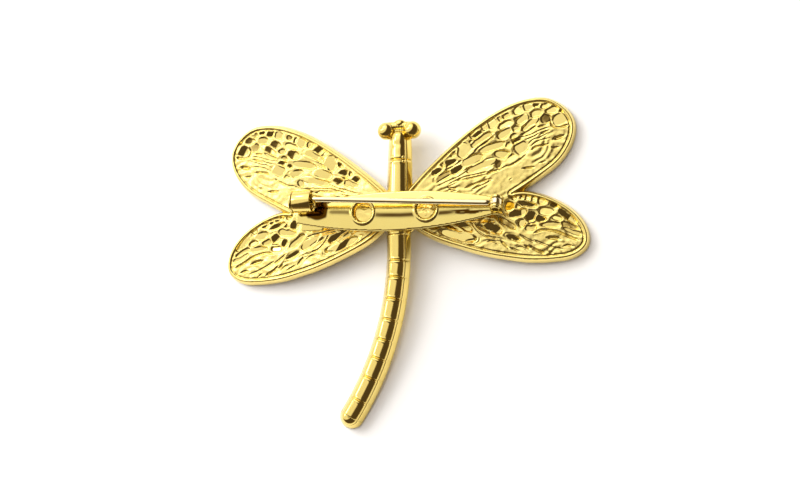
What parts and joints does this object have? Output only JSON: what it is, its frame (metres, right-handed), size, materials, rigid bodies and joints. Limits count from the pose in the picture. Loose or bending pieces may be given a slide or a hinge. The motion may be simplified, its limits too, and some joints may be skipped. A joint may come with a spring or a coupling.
{
  "type": "dragonfly brooch with bar pin",
  "caption": "Cast dragonfly brooch lying face down, with veined wings, a ringed curved tail and a bar pin with hinged needle and turning safety catch on its back.",
  "frame": {"origin": "centre of the bounding box in plan, on the surface that the brooch lies on", "axes": "+Z out of the back, where the pin is; +Y towards the head; +X towards the wings on the hinge's side"},
  "size_m": [0.0554, 0.0468, 0.0091],
  "materials": {
    "cast_gold": "polished gold plating",
    "bar_gold": "polished pale gold plating",
    "needle_gold": "bright polished pale gold wire"
  },
  "bodies": {
    "brooch": {"dragonfly_casting": "cast_gold", "pin_bar": "bar_gold", "hinge_rivet": "bar_gold"},
    "needle": {"pin_needle": "needle_gold"},
    "catch": {"catch_sleeve": "cast_gold"}
  },
  "joints": [
    {"name": "needle_hinge", "type": "hinge", "parent": "brooch", "child": "needle", "pos_m": [0.0154, 0.00713, 0.00664], "axis": [0.0795, 0.9478, -0.3087], "range_deg": [0, 70]},
    {"name": "catch_turn", "type": "hinge", "parent": "brooch", "child": "catch", "pos_m": [-0.01326, 0.00966, 0.00749], "axis": [0.9993, -0.0366, 0], "range_deg": [0, 120]}
  ]
}
